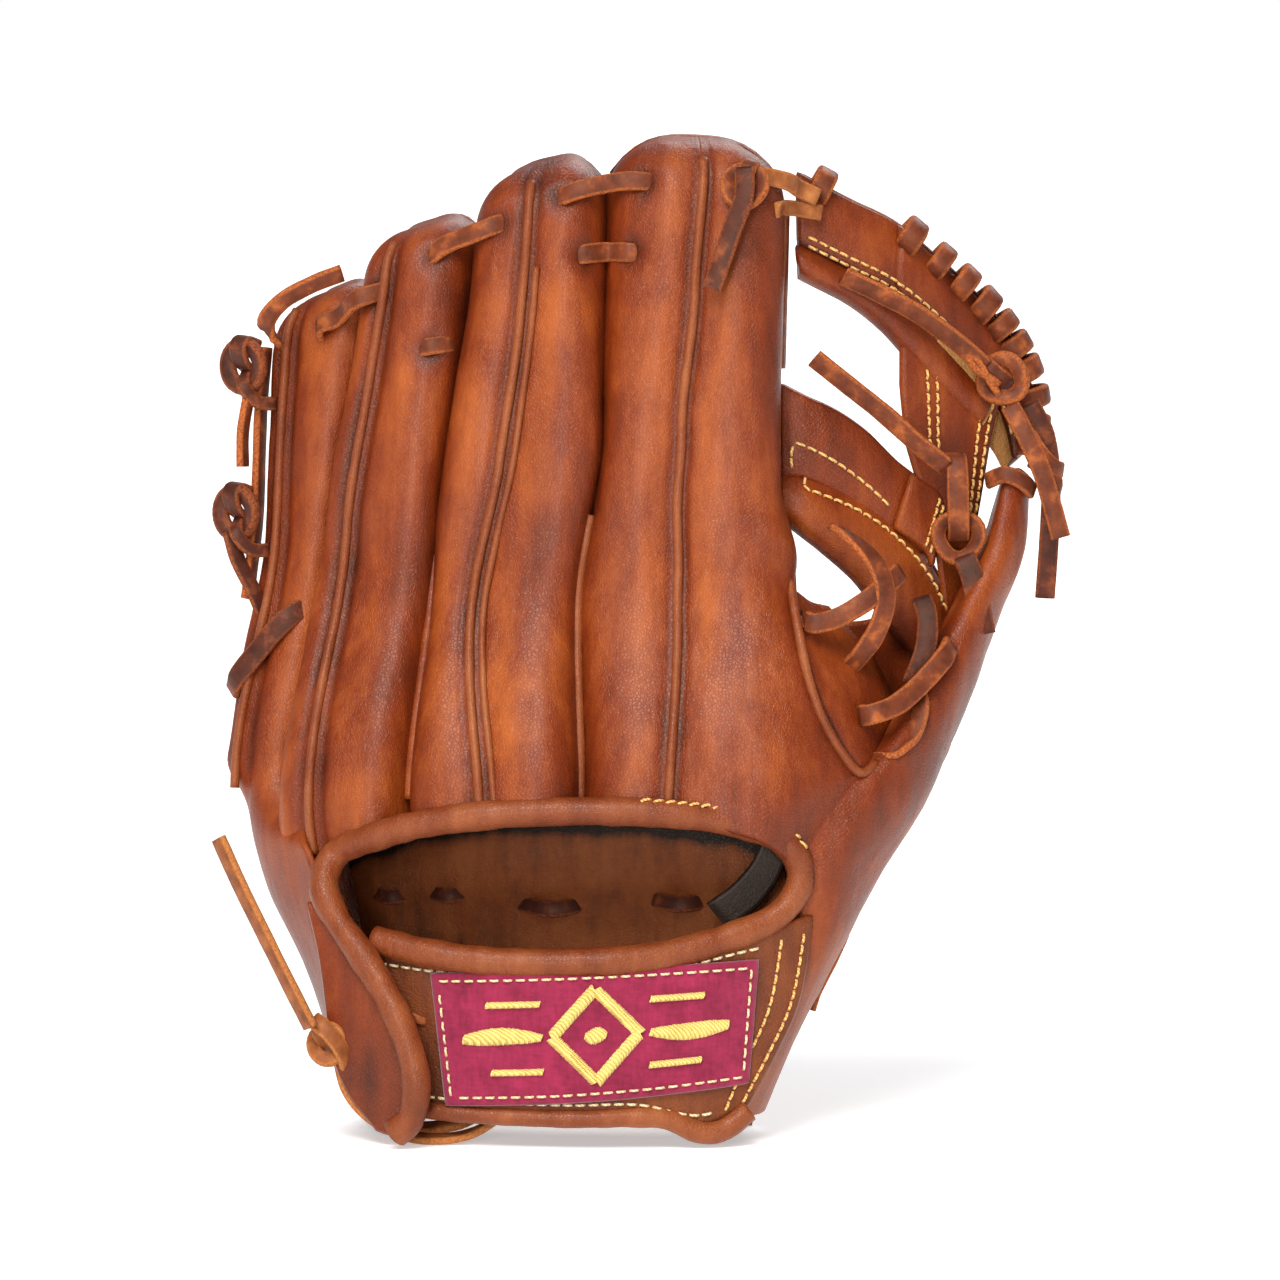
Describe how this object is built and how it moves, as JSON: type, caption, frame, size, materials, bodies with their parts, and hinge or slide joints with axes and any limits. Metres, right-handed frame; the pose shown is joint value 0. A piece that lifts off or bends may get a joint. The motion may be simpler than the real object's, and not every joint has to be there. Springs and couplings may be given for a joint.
{
  "type": "baseball glove",
  "caption": "Fielding glove for the left hand: laced finger stalls, open back with wrist strap, post-and-bar web, padded palm; the thumb side folds to close the pocket.",
  "frame": {"origin": "centre of the glove's outline at its lowest level, without the free lace ends", "axes": "+Z from heel to fingertips, -Y out of the back of the hand, +Y out of the pocket, +X towards the thumb"},
  "size_m": [0.2427, 0.0982, 0.2825],
  "materials": {
    "shell_leather": "oiled, softly glossy, tan brown",
    "binding_leather": "rolled edge, slightly lighter",
    "rawhide_lace": "dark reddish rawhide with raw edges",
    "liner_leather": "smooth inner leather",
    "felt_pad": "wool felt",
    "label_felt": "maroon felt with gold thread"
  },
  "bodies": {
    "hand": {"palm_shell": "shell_leather", "index_back": "shell_leather", "middle_back": "shell_leather", "ring_back": "shell_leather", "pinky_back": "shell_leather", "heel_panel": "shell_leather", "thumb_heel_panel": "shell_leather", "wrist_tab": "shell_leather", "wrist_strap": "shell_leather", "opening_binding": "binding_leather", "strap_binding": "binding_leather", "index_welt": "binding_leather", "middle_welt": "binding_leather", "ring_welt": "binding_leather", "pinky_welt": "binding_leather", "palm_liner": "liner_leather", "index_liner": "liner_leather", "middle_liner": "liner_leather", "ring_liner": "liner_leather", "pinky_liner": "liner_leather", "palm_pad": "felt_pad", "heel_pad": "felt_pad", "label_patch": "label_felt", "fingertip_lace": "rawhide_lace", "middle_index_lace": "rawhide_lace", "wrist_lace": "rawhide_lace", "wrist_knot": "rawhide_lace", "heel_lace": "rawhide_lace", "pinky_side_lace": "rawhide_lace", "pinky_upper_knot": "rawhide_lace", "pinky_lower_knot": "rawhide_lace", "pinky_loop": "rawhide_lace", "index_tip_knot": "rawhide_lace", "index_web_tie": "rawhide_lace", "index_web_lace": "rawhide_lace", "index_tip_tail": "rawhide_lace", "wrist_tail": "rawhide_lace"},
    "thumb": {"thumb_back": "shell_leather", "thumb_front": "shell_leather", "thumb_pad": "felt_pad", "thumb_gusset": "shell_leather", "gusset_welt": "binding_leather", "web_top_bar": "shell_leather", "web_post": "shell_leather", "web_bridge": "shell_leather", "web_lower_bar": "shell_leather", "web_roll": "binding_leather", "web_top_lace": "rawhide_lace", "crotch_lace_upper": "rawhide_lace", "crotch_lace_lower": "rawhide_lace", "crotch_lace_side": "rawhide_lace", "thumb_tip_knot": "rawhide_lace", "web_base_knot": "rawhide_lace", "web_base_loop": "rawhide_lace", "thumb_edge_lace": "rawhide_lace", "thumb_tail_high": "rawhide_lace", "thumb_tail_outer": "rawhide_lace", "thumb_tail_low": "rawhide_lace", "web_tail": "rawhide_lace"}
  },
  "joints": [
    {"name": "glove_close", "type": "hinge", "parent": "hand", "child": "thumb", "pos_m": [0.04795, 0.00397, 0.03], "axis": [-0.0112, 0.0375, 0.9992], "range_deg": [-4, 28]}
  ]
}
